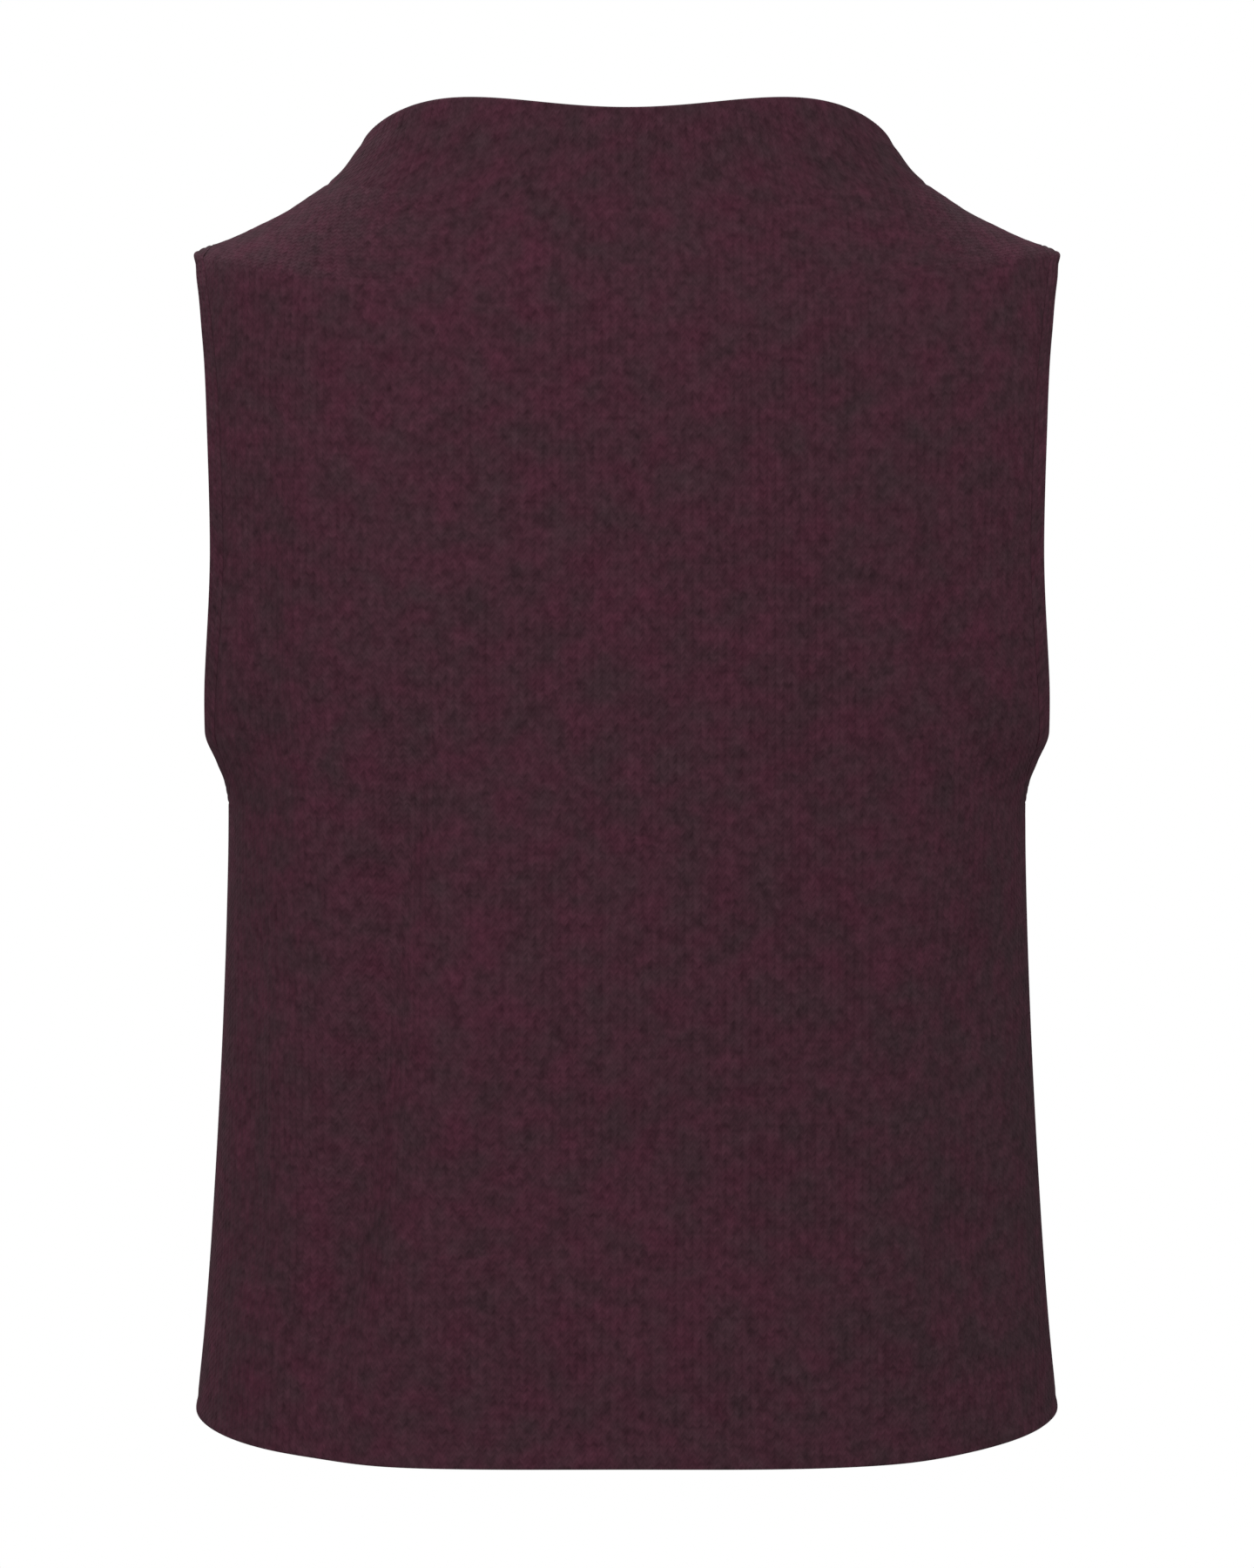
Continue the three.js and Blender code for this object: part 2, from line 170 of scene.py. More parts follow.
def section_at(height):
    """Every column of the table at each height, by a cubic between the sections around it. Its slope at
    a section is the harmonic mean of the slopes on both sides, and level where they differ in sign."""
    above = np.clip(np.searchsorted(HEIGHTS, height), 1, len(HEIGHTS) - 1)
    below = above - 1
    span = HEIGHTS[above] - HEIGHTS[below]
    s = (height - HEIGHTS[below]) / span
    to_above = s * s * (3 - 2 * s)
    weights = (1 - to_above, to_above, s * (1 - s) ** 2 * span, s * s * (s - 1) * span)
    values = (SECTIONS[below], SECTIONS[above], SLOPES[below], SLOPES[above])
    ring = sum(weight[..., None] * value for weight, value in zip(weights, values))
    return dict(zip(COLUMNS, np.moveaxis(ring, -1, 0)))


def smooth_point(angle, height):
    """The garment without folds. A section is a rounded ring: cosine and sine of the angle, both
    stretched until the sum of their powers is 1, times its half width and its depth. The angle is 0 at
    the right side, +90 degrees at the centre front and -90 degrees at the centre back."""
    angle, height = np.broadcast_arrays(angle, height)
    ring = section_at(height)
    cos = np.cos(angle)
    sin = np.sin(angle)
    reach = (np.abs(cos) ** ring["square"] + np.abs(sin) ** ring["square"]) ** (-1 / ring["square"])
    centre_z = np.where(sin < 0, ring["back_z"], ring["front_z"])
    depth = np.where(sin < 0, ring["back_y"], ring["front_y"])
    flare = ring["flare"] * np.sign(cos) * np.abs(cos) ** FLARE_FOCUS
    x = ring["half"] * cos * reach + flare
    y = depth * sin * reach
    z = ring["z"] + (centre_z - ring["z"]) * sin**2 + ring["lift"] * (2 * sin * cos) ** 2
    return np.stack([x, y, z], -1)


def smoothstep(value, end):
    """0 below zero, 1 above the end, and a smooth cubic between."""
    share = np.clip(value / end, 0, 1)
    return share * share * (3 - 2 * share)


def fold_height(folds, x, z):
    """The sum of the folds at each point: a bell across each fold's bowed line, faded at its ends, and
    lower and wider towards the hem."""
    total = np.zeros_like(x)
    free = smoothstep(z - HEM_Z, HEM_HOLD)
    height_share = HEM_FOLD_SHARE + (1 - HEM_FOLD_SHARE) * free
    spread = HEM_FOLD_SPREAD + (1 - HEM_FOLD_SPREAD) * free
    for row in folds:
        fold = dict(zip(FOLD_COLUMNS, row))
        along = (fold["top_z"] - z) / (fold["top_z"] - fold["foot_z"])
        straight = fold["top_x"] + (fold["foot_x"] - fold["top_x"]) * along
        line_x = straight + fold["bow"] * 4 * along * (1 - along)
        above_foot = z - fold["foot_z"] if fold["foot_z"] > HEM_Z else np.inf
        share = smoothstep(np.minimum(fold["top_z"] - z, above_foot), fold["fade"])
        total += fold["height"] * share * np.exp(-(((x - line_x) / (fold["width"] * spread)) ** 2))
    return total * height_share


def garment_normal(angle, height):
    """The outward normal: the direction round the section crossed with the direction up the side."""
    low = np.maximum(height - NORMAL_STEP, 0)
    high = np.minimum(height + NORMAL_STEP, NECK_EDGE)
    around = smooth_point(angle + TURN_STEP, height) - smooth_point(angle - TURN_STEP, height)
    up = smooth_point(angle, high) - smooth_point(angle, low)
    normal = np.cross(around, up)
    return normal / np.linalg.norm(normal, axis=-1, keepdims=True)


def garment_point(angle, height, out, folds):
    """A point of the garment, moved along its normal by the distance out, and by the folds there along
    the level part of that normal, so that a fold leaves the hem's line as it is."""
    angle, height, out = np.broadcast_arrays(angle, height, out)
    point = smooth_point(angle, height)
    normal = garment_normal(angle, height)
    fold = fold_height(folds, point[..., 0], point[..., 2])
    fold = fold * smoothstep(np.abs(point[..., 1]), FOLD_FREE_SIDE)
    return point + normal * (out[..., None] + fold[..., None] * (1, 1, 0))


def angle_at_offset(offset, height):
    """The angle at which a section is a distance in front of the side line, or behind it if below 0."""
    ring = section_at(height)
    share = np.abs(offset) / np.where(offset < 0, ring["back_y"], ring["front_y"])
    angle = np.arctan2(share, (1 - share ** ring["square"]) ** (1 / ring["square"]))
    return np.sign(offset) * angle


def loop_half_gap(turn, margin):
    """Half the width of an armhole loop, at an angle round it from 0 at the underarm to 180 degrees at
    the shoulder tip: a sine to a power, narrowed towards the top, a margin outside the free edge."""
    narrowing = 1 - ARMHOLE_TOP_NARROWING * 0.5 * (1 - np.cos(turn))
    return (ARMHOLE_HALF_GAP * narrowing + margin) * np.abs(np.sin(turn)) ** ARMHOLE_FULLNESS


def loop_height(turn, margin):
    """The height of a point of that loop: minus a cosine round the armhole's centre."""
    return ARMHOLE_CENTRE - (ARMHOLE_HALF_HEIGHT + margin) * np.cos(turn)


def panel_edge_offset(height):
    """How far from the side line a panel ends: at the side seam, or at the armhole band's seam."""
    cos = (ARMHOLE_CENTRE - height) / (ARMHOLE_HALF_HEIGHT + BAND_WIDTH)
    gap = loop_half_gap(np.arccos(np.clip(cos, -1, 1)), BAND_WIDTH)
    return np.where(np.abs(cos) < 1, gap, 0)


# How the fabric's two faces leave the plain wall: the columns of stitches stand out as rounded ribs,
# a linked seam draws the face in, and a free edge is turned, round, with a faint groove beside it
WALE_RELIEF = 0.36
MEAN_SINE = 0.64  # mean size of a sine, taken off so that the ribs leave the mean thickness as it is
SEAM_DEPTH = 0.3
SEAM_REACH = 1.2
TURNED_EDGE = 6.5
TURNED_BULGE = 0.25
BULGE_CENTRE = 0.45 * TURNED_EDGE
BULGE_WIDTH = 0.4 * TURNED_EDGE
TURNED_GROOVE = 0.2
GROOVE_WIDTH = 2.2
EDGE_LIP = 0.22  # what is left of the wall at the very edge, each way from its middle


def wale_relief(wales):
    """How far the fabric stands out of its grooves: the sine's size, so round with narrow grooves."""
    return WALE_RELIEF * (np.abs(np.sin(np.pi * wales)) - MEAN_SINE)


def seam_dip(distance):
    """How far the face is drawn in beside a linked seam: a bell of the distance to the seam."""
    return -SEAM_DEPTH * np.exp(-((distance / SEAM_REACH) ** 2))


def turned_edge(distance):
    """How the face swells over a turned free edge and dips beside it, by the distance to the edge."""
    swell = TURNED_BULGE * np.exp(-(((distance - BULGE_CENTRE) / BULGE_WIDTH) ** 2))
    groove = TURNED_GROOVE * np.exp(-(((distance - TURNED_EDGE) / GROOVE_WIDTH) ** 2))
    return swell - groove


def half_wall(distance, wall):
    """Half the wall's thickness near a free edge: a quarter circle that ends in a narrow lip."""
    gone = np.clip(1 - distance / (0.5 * wall), 0, 1)
    return np.maximum(0.5 * wall * np.sqrt(1 - gone**2), EDGE_LIP)


# Fineness of the panels' mesh
STEPS_PER_WALE = 4
BODY_ROWS = 34
ARMHOLE_ROWS = 32
SHOULDER_ROWS = 9
EDGE_DISTANCES = (0, 0.1, 0.4, 0.8, 1.3, 2.4, 3.8, 5.2, 6.5, 7.8, 9.4)  # rows beside a free edge
SEAM_DISTANCES = (4, 2.6, 1.5, 0.7, 0)  # rows beside a seam
LEAST_COLUMN = 0.3  # a last column narrower than this share of a step is joined to the one before
RIBS_FROM_SEAM = 2.5  # over this distance from a seam the ribs set in
RIBS_FROM_EDGE = 2.0  # the same from a free edge
ARC_SAMPLES = 400
FAN_LINES = 145
CLIMB_SAMPLES = 900
SHARP_ANGLE = 55  # degrees between two faces from which their edge is shaded sharp


def panel_heights():
    """Heights of a panel's rows: close together at the hem's edge, even up to the underarm, at even
    turns of the armhole's seam beside it, even again over the shoulder, and close at the neck seam."""
    low = loop_height(0, BAND_WIDTH)
    high = loop_height(math.pi, BAND_WIDTH)
    body = np.linspace(EDGE_DISTANCES[-1], low, BODY_ROWS + 1)[1:-1]
    beside = loop_height(np.linspace(0, math.pi, ARMHOLE_ROWS + 1), BAND_WIDTH)
    shoulder = np.linspace(high, NECK_SEAM - SEAM_DISTANCES[0], SHOULDER_ROWS + 1)[1:-1]
    return np.concatenate([EDGE_DISTANCES, body, beside, shoulder, NECK_SEAM - np.array(SEAM_DISTANCES)])


def half_panel_columns(heights, centre, side, folds):
    """Angles and arc lengths of a half panel's columns. A column keeps its distance from the centre
    line, measured along each row, so that it follows one column of stitches, and it ends where it
    meets the panel's edge. Side is +1 or -1 for the way the angle goes."""
    step = WALE / STEPS_PER_WALE
    edge_offset = np.sign(centre) * (panel_edge_offset(heights) + OFF_ZERO)
    edge = np.abs(angle_at_offset(edge_offset, heights))
    swing = (0.5 * math.pi - edge)[:, None] * np.linspace(0, 1, ARC_SAMPLES)
    points = garment_point(centre + side * swing, heights[:, None], 0, folds)
    lengths = np.linalg.norm(np.diff(points, axis=1), axis=-1)
    arcs = np.hstack([np.zeros((len(heights), 1)), np.cumsum(lengths, axis=1)])
    count = int(np.ceil(arcs[:, -1].max() / step)) + 1
    wanted = np.minimum(np.arange(count) * step, arcs[:, -1:])
    last = np.ceil((arcs[:, -1] - LEAST_COLUMN * step) / step).astype(int)
    wanted = np.where(np.arange(count) >= last[:, None], arcs[:, -1:], wanted)
    turned = np.stack([np.interp(row, arc, swung) for row, arc, swung in zip(wanted, arcs, swing)])
    return centre + side * turned, side * wanted, last


def nearest_distance(points, line):
    """The distance from each point to the nearest of a line's points, a row of points at a time."""
    return np.stack([
        np.sqrt(((row[:, None] - line[None]) ** 2).sum(-1)).min(1) for row in points
    ])


def grid_triangles(ids, points):
    """Triangles of a grid of vertex numbers, each patch split along its shorter diagonal. Patches that
    close up where the grid's edge cuts in are left out."""
    a, b, c, d = ids[:-1, :-1], ids[:-1, 1:], ids[1:, 1:], ids[1:, :-1]
    flat = points.reshape(-1, 3)
    first = np.linalg.norm(flat[a] - flat[c], axis=-1) <= np.linalg.norm(flat[b] - flat[d], axis=-1)
    one = np.where(first[..., None], np.stack([a, b, c], -1), np.stack([a, b, d], -1))
    two = np.where(first[..., None], np.stack([a, c, d], -1), np.stack([b, c, d], -1))
    triangles = np.concatenate([one.reshape(-1, 3), two.reshape(-1, 3)])
    distinct = (triangles != np.roll(triangles, 1, axis=1)).all(1)
    return triangles[distinct]


def course_counts(angles, heights):
    """How many courses lie between the hem and each point of a grid whose rows keep to one height: the
    distance up the smooth garment at a constant angle, over the height of a course. Distances are summed
    on a fine fan of such lines and read off between them."""
    fans = np.linspace(-math.pi, math.pi, FAN_LINES)
    fine = np.linspace(0, NECK_EDGE, CLIMB_SAMPLES)
    steps = np.linalg.norm(np.diff(smooth_point(fans[:, None], fine), axis=1), axis=-1)
    climbs = np.hstack([np.zeros((len(fans), 1)), np.cumsum(steps, axis=1)])
    at_rows = np.stack([np.interp(heights, fine, climb) for climb in climbs], -1)
    wrapped = (angles + math.pi) % (2 * math.pi) - math.pi
    return np.stack([np.interp(row, fans, climb) for row, climb in zip(wrapped, at_rows)]) / COURSE


def shell_mesh(name, outer, inner, triangles, stitches, full_turn=(np.inf, np.inf)):
    """A closed cloth piece from its outer and inner points, the outer face's triangles and the count of
    wales and courses at each point. The inner face is the same turned round, and each edge that only one
    triangle uses is joined across the wall. Where a triangle of a ring spans its start, its low counts
    are raised by the ring's full turn."""
    used, triangles = np.unique(triangles, return_inverse=True)
    triangles = triangles.reshape(-1, 3)
    outer = outer.reshape(-1, 3)[used]
    inner = inner.reshape(-1, 3)[used]
    stitches = stitches.reshape(-1, 2)[used]
    count = len(used)
    edges = np.concatenate([triangles[:, [0, 1]], triangles[:, [1, 2]], triangles[:, [2, 0]]])
    codes = edges[:, 0] * count + edges[:, 1]
    free = edges[~np.isin(codes, edges[:, 1] * count + edges[:, 0])]
    rim_one = np.stack([free[:, 1], free[:, 0], free[:, 0] + count], -1)
    rim_two = np.stack([free[:, 1], free[:, 0] + count, free[:, 1] + count], -1)
    faces = np.concatenate([triangles, triangles[:, ::-1] + count, rim_one, rim_two])

    mesh = bpy.data.meshes.new(name)
    mesh.vertices.add(2 * count)
    mesh.vertices.foreach_set("co", (np.concatenate([outer, inner]) * MM).astype(np.float32).ravel())
    mesh.loops.add(faces.size)
    mesh.loops.foreach_set("vertex_index", faces.astype(np.int32).ravel())
    mesh.polygons.add(len(faces))
    mesh.polygons.foreach_set("loop_start", np.arange(0, faces.size, 3, dtype=np.int32))
    mesh.update(calc_edges=True)
    uv = np.concatenate([stitches, stitches])[faces]
    spans_start = np.ptp(uv, axis=1, keepdims=True) > 0.5 * np.array(full_turn)
    low = uv < uv.mean(axis=1, keepdims=True)
    uv = uv + np.where(spans_start & low, full_turn, 0)
    mesh.uv_layers.new(name="stitches").uv.foreach_set("vector", uv.astype(np.float32).ravel())
    inside = mesh.attributes.new("inside", "FLOAT", "POINT")
    inside.data.foreach_set("value", np.repeat([0.0, 1.0], count).astype(np.float32))
    mesh.validate()
    mesh.shade_smooth()
    mesh.set_sharp_from_angle(angle=math.radians(SHARP_ANGLE))
    return mesh


def panel_mesh(name, facing, folds, first_wale):
    """A panel from side seam to side seam; facing is -1 for the back and +1 for the front. Its rows go
    up from the hem, and its columns run outwards from the centre line on both sides, where the wales
    are counted from the first one given, so that two panels don't show the same stretch of yarn."""
    heights = panel_heights()
    centre = 0.5 * math.pi * facing
    right_angles, right_arcs, right_last = half_panel_columns(heights, centre, 1, folds)
    left_angles, left_arcs, left_last = half_panel_columns(heights, centre, -1, folds)
    angles = np.hstack([left_angles[:, :0:-1], right_angles])
    arcs = np.hstack([left_arcs[:, :0:-1], right_arcs])
    middle = left_arcs.shape[1] - 1
    rows, columns = angles.shape
    column = np.clip(np.arange(columns), (middle - left_last)[:, None], (middle + right_last)[:, None])
    ids = np.arange(rows)[:, None] * columns + column

    up = heights[:, None]
    face = garment_point(angles, up, 0, folds)
    seam = np.concatenate([face[:, 0], face[-1], face[:, -1]])
    from_seam = nearest_distance(face, seam)
    from_hem = np.broadcast_to(up, angles.shape)
    wales = arcs / WALE
    relief = wale_relief(wales)
    relief = relief * smoothstep(from_seam, RIBS_FROM_SEAM) * smoothstep(from_hem, RIBS_FROM_EDGE)
    thick = half_wall(from_hem, WALL)
    out = -0.5 * WALL + thick + relief + turned_edge(from_hem) + seam_dip(from_seam)
    outer = garment_point(angles, up, out, folds)
    inner = garment_point(angles, up, -0.5 * WALL - thick, folds)
    triangles = grid_triangles(ids, face)
    stitches = np.stack([first_wale + wales, course_counts(angles, heights)], -1)
    return shell_mesh(name, outer, inner, triangles, stitches)


# The yarn, spun from wine and charcoal fibres that never mix evenly. Colours are linear.
WINE = (0.0480, 0.0140, 0.0236, 1)
CHARCOAL = (0.0330, 0.0166, 0.0212, 1)
CLOUD = 17.0  # size of the cloudy patches of one colour
CLOUD_RANGE = (0.15, 0.85)  # noise values at which these alone are pure charcoal and pure wine
LARGE_CLOUD = 75.0  # size of the wide patches that they drift in
LARGE_CLOUD_SHARE = 0.5  # how much these shift the mix of the two colours
PAINTED_SHADE_CORNER = 0.22  # painted shade: how much more charcoal, so darker and cooler, the mix holds low at the right
PAINTED_SHADE_X = (0.0, 0.16)  # over these metres to the right the painted shade sets in
PAINTED_SHADE_Z = (-0.22, -0.4)  # and over these downwards
GRAIN = 3.8  # size of the lighter and darker flecks
GRAIN_DEPTH = 0.95  # how much lighter or darker a fleck is
LEG_DEPTH = 0.20  # how much lighter or darker one leg of a stitch is than the next
STITCH_HEIGHT = 0.22  # how far a stitch stands out of the gaps around it
STITCH_SHADE = 0.10  # painted shade: how much darker those gaps are
STITCH_EVEN = 0.6  # share of a stitch's height at which the yarn keeps its colour
GROOVE_SHADE = 0.10  # painted shade: how much darker the grooves between the columns are, where they are open
GROOVE_POWER = 3.0  # a higher one makes them narrower
OPEN_PATCH = 45.0  # size of the patches where they are open
OPEN_RANGE = (0.4, 0.62)  # the noise's values between which they open
LARGE_CLOUD_CUT = 35.0  # depths at which the noise is cut, one for each pattern, so that none repeats
GRAIN_CUT = 70.0
OPEN_CUT = 140.0
WANDER = 0.9  # how far the stitches wander up and down, in courses
WANDER_SCALE = 90.0  # how often, in a metre
LEG_SLOPE = 0.75  # how far a leg rises from its wale's middle to the edge, in courses
LEG_ROUNDNESS = 0.6  # a lower power makes a leg fuller
LEG_TAPER = 0.6  # share of its height that a leg loses towards its two ends
PURL_WAVE = 0.18  # how far the purl side's arcs bend, in courses
FUZZ_HEIGHT = 0.16  # how far loose fibres stand up
FUZZ_SIZE = 0.9


def knit_material(name, depth):
    """The knitted cloth. Its pattern follows the mesh's own count of wales and courses. A stitch is a V
    of two legs: a leg's middle lies where the course count less the slope times the distance from the
    wale's middle is whole. The inside has the purl side's short arcs instead. Depth scales the relief."""
    material = bpy.data.materials.new(name)
    material.use_nodes = True
    nodes, links = material.node_tree.nodes, material.node_tree.links
    surface = nodes["Principled BSDF"]

    def connect(value, socket):
        if isinstance(value, bpy.types.NodeSocket):
            links.new(value, socket)
        else:
            socket.default_value = value

    def maths(operation, *values):
        node = nodes.new("ShaderNodeMath")
        node.operation = operation
        for value, socket in zip(values, node.inputs):
            connect(value, socket)
        return node.outputs[0]

    def blend(share, low, high):
        node = nodes.new("ShaderNodeMix")
        node.data_type = "RGBA"
        connect(share, node.inputs["Factor"])
        connect(low, node.inputs[6])
        connect(high, node.inputs[7])
        return node.outputs[2]

    def ramp(value, ends):
        node = nodes.new("ShaderNodeMapRange")
        node.interpolation_type = "SMOOTHSTEP"
        connect(value, node.inputs["Value"])
        node.inputs["From Min"].default_value, node.inputs["From Max"].default_value = ends
        return node.outputs["Result"]

    def noise(vector, scale, detail):
        node = nodes.new("ShaderNodeTexNoise")
        connect(vector, node.inputs["Vector"])
        node.inputs["Scale"].default_value = scale
        node.inputs["Detail"].default_value = detail
        return node.outputs[0]

    def combine(x, y, z):
        node = nodes.new("ShaderNodeCombineXYZ")
        for value, socket in zip((x, y, z), node.inputs):
            connect(value, socket)
        return node.outputs[0]

    uv = nodes.new("ShaderNodeUVMap")
    uv.uv_map = "stitches"
    split = nodes.new("ShaderNodeSeparateXYZ")
    links.new(uv.outputs[0], split.inputs[0])
    wale, course = split.outputs[0], split.outputs[1]
    inside = nodes.new("ShaderNodeAttribute")
    inside.attribute_name = "inside"
    place = nodes.new("ShaderNodeTexCoord").outputs["Object"]

    # The stitches wander a little, as yarn of uneven thickness makes them
    sway = maths("SUBTRACT", noise(place, WANDER_SCALE, 1.0), 0.5)
    course = maths("ADD", course, maths("MULTIPLY", sway, WANDER))
    from_middle = maths("ABSOLUTE", maths("SUBTRACT", maths("FRACT", wale), 0.5))
    from_middle = maths("MULTIPLY", from_middle, 2.0)
    leg_phase = maths("SUBTRACT", course, maths("MULTIPLY", from_middle, LEG_SLOPE))
    leg = maths("MULTIPLY_ADD", maths("COSINE", maths("MULTIPLY", leg_phase, math.tau)), 0.5, 0.5)
    leg = maths("POWER", leg, LEG_ROUNDNESS)
    across = maths("SINE", maths("MULTIPLY", from_middle, math.pi))
    knit = maths("MULTIPLY", leg, maths("MULTIPLY_ADD", across, LEG_TAPER, 1.0 - LEG_TAPER))
    purl_wave = maths("MULTIPLY", maths("COSINE", maths("MULTIPLY", wale, math.tau)), PURL_WAVE)
    purl_phase = maths("MULTIPLY", maths("ADD", course, purl_wave), math.tau)
    purl = maths("MULTIPLY_ADD", maths("COSINE", purl_phase), 0.5, 0.5)
    stitch = nodes.new("ShaderNodeMix")
    links.new(inside.outputs["Fac"], stitch.inputs["Factor"])
    links.new(knit, stitch.inputs[2])
    links.new(purl, stitch.inputs[3])
    stitch = stitch.outputs[0]

    # The colours drift in soft clouds, small and large, and lean to charcoal low at the right as painted
    # shade
    cloth_x = maths("MULTIPLY", wale, WALE)
    cloth_y = maths("MULTIPLY", course, COURSE)
    cloud = ramp(noise(combine(cloth_x, cloth_y, 0.0), 1.0 / CLOUD, 2.0), CLOUD_RANGE)
    large_cloud = noise(combine(cloth_x, cloth_y, LARGE_CLOUD_CUT), 1.0 / LARGE_CLOUD, 1.0)
    large_cloud = maths("SUBTRACT", large_cloud, 0.5)
    apart = nodes.new("ShaderNodeSeparateXYZ")
    links.new(place, apart.inputs[0])
    # Painted shade: a darker, cooler mix low at the right, where the vest lies in shade
    painted_shade = maths("MULTIPLY", ramp(apart.outputs[0], PAINTED_SHADE_X), ramp(apart.outputs[2], PAINTED_SHADE_Z))
    share = maths("MULTIPLY_ADD", large_cloud, LARGE_CLOUD_SHARE, cloud)
    share = maths("MULTIPLY_ADD", painted_shade, -PAINTED_SHADE_CORNER, share)
    yarn = blend(share, CHARCOAL, WINE)

    # Each fleck and each leg of a stitch is a little lighter or darker than the next
    grain = noise(combine(cloth_x, cloth_y, GRAIN_CUT), 1.0 / GRAIN, 1.0)
    tone = maths("MULTIPLY_ADD", maths("SUBTRACT", grain, 0.5), GRAIN_DEPTH, 1.0)
    leg_tone = nodes.new("ShaderNodeTexWhiteNoise")
    leg_tone.noise_dimensions = "2D"
    leg_column = maths("FLOOR", maths("MULTIPLY", wale, 2.0))
    links.new(combine(leg_column, maths("FLOOR", leg_phase), 0.0), leg_tone.inputs["Vector"])
    leg_tone = maths("SUBTRACT", leg_tone.outputs["Value"], 0.5)
    tone = maths("MULTIPLY_ADD", leg_tone, LEG_DEPTH, tone)

    # Painted shade: the gaps between stitches are darker, and in places the grooves between their columns
    # too
    open_patch = noise(combine(cloth_x, cloth_y, OPEN_CUT), 1.0 / OPEN_PATCH, 1.0)
    open_patch = ramp(open_patch, OPEN_RANGE)
    groove = maths("MULTIPLY", maths("POWER", from_middle, GROOVE_POWER), open_patch)
    gap_shade = maths("MULTIPLY_ADD", stitch, STITCH_SHADE, 1.0 - STITCH_EVEN * STITCH_SHADE)
    gap_shade = maths("MULTIPLY_ADD", groove, -GROOVE_SHADE, gap_shade)
    shaded = nodes.new("ShaderNodeVectorMath")
    shaded.operation = "SCALE"
    links.new(yarn, shaded.inputs[0])
    links.new(maths("MULTIPLY", tone, gap_shade), shaded.inputs["Scale"])
    links.new(shaded.outputs[0], surface.inputs["Base Color"])

    # The relief that the mesh is too coarse for: the stitches and the loose fibres
    fuzz = maths("MULTIPLY", noise(place, 1.0 / (FUZZ_SIZE * MM), 3.0), FUZZ_HEIGHT * MM)
    relief = maths("MULTIPLY_ADD", stitch, STITCH_HEIGHT * depth * MM, fuzz)
    bump = nodes.new("ShaderNodeBump")
    bump.inputs["Strength"].default_value = 1.0
    bump.inputs["Distance"].default_value = 1.0
    links.new(relief, bump.inputs["Height"])
    links.new(bump.outputs[0], surface.inputs["Normal"])
    surface.inputs["Roughness"].default_value = 0.95
    surface.inputs["Specular IOR Level"].default_value = 0.04
    surface.inputs["Sheen Weight"].default_value = 0.012
    surface.inputs["Sheen Roughness"].default_value = 0.45
    surface.inputs["Sheen Tint"].default_value = (1.0, 0.72, 0.80, 1)
    return material


def add_cloth(mesh, material, node):
    """Puts a cloth piece in the scene, in place of its CAD node."""
    piece = bpy.data.objects.new(mesh.name, mesh)
    bpy.context.scene.collection.objects.link(piece)
    mesh.materials.append(material)
    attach(piece, "root")
    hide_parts(node)


BACK_DRAPE = np.vstack([BACK_FOLDS, BACK_CREASES])
body_knit = knit_material("body_knit", 1.0)
back_mesh = panel_mesh("knitted_back_panel", -1, BACK_DRAPE, 0)
add_cloth(back_mesh, body_knit, "back_panel")

# Front panel
# The same piece of knitting for the front, with its neck seam lower at the middle. The photo doesn't
# show it, so its folds only resemble the back's.
FRONT_FOLDS = np.array([
    (150, -92, 163, -285, -8, 13, -2.4, 60),
    (96, -215, 128, -530, -4, 18, -4.2, 95),
    (68, -270, 92, -530, -5, 24, 3.0, 90),
    (164, -300, 166, -520, 0, 12, -2.6, 70),
    (4, -300, -10, -470, 0, 40, -1.4, 75),
    (-84, -160, -160, -300, -10, 15, -2.8, 60),
    (-112, -300, -124, -530, 3, 16, -3.6, 85),
    (-86, -345, -94, -530, 0, 19, 2.6, 80),
    (-160, -330, -166, -530, 0, 13, -2.2, 60),
], float)
FRONT_CREASES = np.array([
    (166, -218, 130, -262, 3, 4.5, -0.7, 22),
    (-167, -220, -134, -268, -3, 5, -0.6, 24),
    (-158, -112, -165, -200, -2, 5, -0.7, 36),
    (112, -360, 121, -474, 2, 6, 0.6, 48),
    (-138, -330, -143, -450, -2, 7, 0.6, 50),
    (36, -410, 44, -512, -2, 9, -0.5, 44),
    (-52, -300, -60, -420, 3, 8, -0.5, 48),
    (-96, -44, -106, -100, 3, 8, -0.6, 26),
    (90, -48, 104, -106, -3, 8, 0.6, 26),
], float)
FRONT_DRAPE = np.vstack([FRONT_FOLDS, FRONT_CREASES])
FRONT_FIRST_WALE = 400
front_mesh = panel_mesh("knitted_front_panel", 1, FRONT_DRAPE, FRONT_FIRST_WALE)
add_cloth(front_mesh, body_knit, "front_panel")

# Armhole bands
# A narrow strip of three columns of stitches round each armhole, knitted a little thicker than the
# panels, linked to them along one side and rounded at its free edge.
BAND_WALL = 2.8
BAND_WALES = 3
BAND_STEPS = 440
BAND_RIBS_FADE = 1.0  # over this distance from the seam and from the edge its ribs set in
LOOP_SAMPLES = 4001
NO_FOLDS = np.zeros((0, len(FOLD_COLUMNS)))

# The strip's columns, close together beside the seam and the free edge, as margins outside that edge
BAND_MARGINS = BAND_WIDTH - np.concatenate([
    [0, 0.35, 0.8],
    np.linspace(1.4, BAND_WIDTH - 1.9, 11),
    BAND_WIDTH - np.array([1.4, 0.9, 0.5, 0.2, 0]),
])


def band_place(turn, margin, side):
    """The angle and height on the garment of a point of an armhole loop. The loop goes up the front,
    over the shoulder tip and down the back; side is -1 for the mirrored one at -X."""
    facing = np.where(turn <= math.pi, 1, -1)
    height = loop_height(turn, margin)
    angle = angle_at_offset(facing * (loop_half_gap(turn, margin) + OFF_ZERO), height)
    return (angle if side > 0 else math.pi - angle), height


